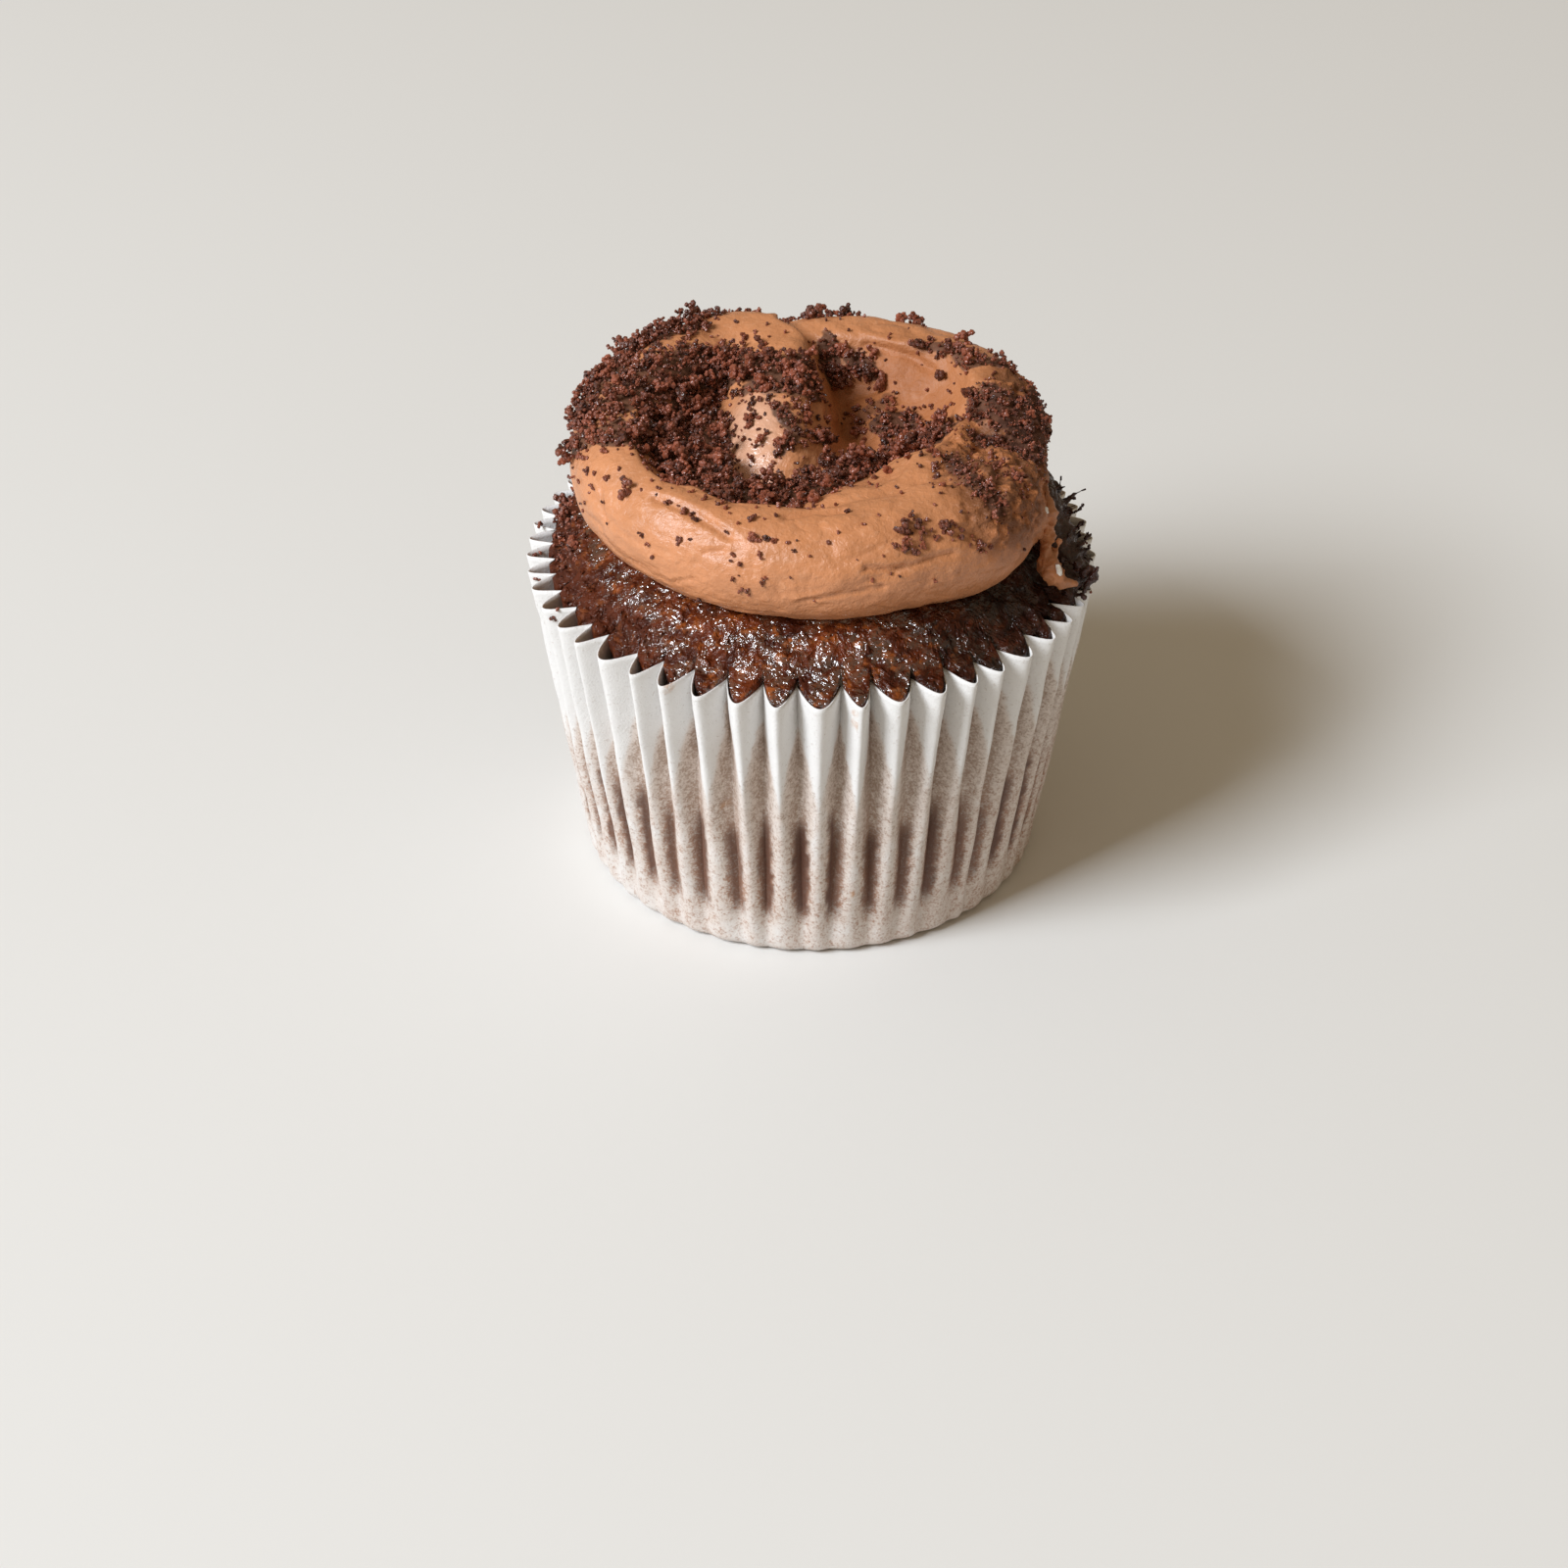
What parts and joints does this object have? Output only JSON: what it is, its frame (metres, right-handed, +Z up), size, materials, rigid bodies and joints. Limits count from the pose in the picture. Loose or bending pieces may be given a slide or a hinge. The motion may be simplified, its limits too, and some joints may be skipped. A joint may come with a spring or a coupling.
{
  "type": "chocolate cupcake",
  "caption": "Single-serving chocolate cupcake in a pleated white paper case, with a piped swirl of chocolate buttercream.",
  "frame": {"origin": "middle of the flat base, on the surface that the cupcake stands on", "axes": "+Z up out of the base, -Y towards the front, where the buttercream's front band is lowest, +X to the right"},
  "size_m": [0.0622, 0.0622, 0.0552],
  "materials": {
    "paper": "greaseproof paper, white at the rim, speckled brown where the cake shows through",
    "cake": "moist chocolate sponge with a glossy, bubbly crust",
    "buttercream": "satin milk-chocolate buttercream"
  },
  "bodies": {
    "root": {"paper_case": "paper", "cake": "cake", "buttercream": "buttercream"}
  },
  "joints": []
}
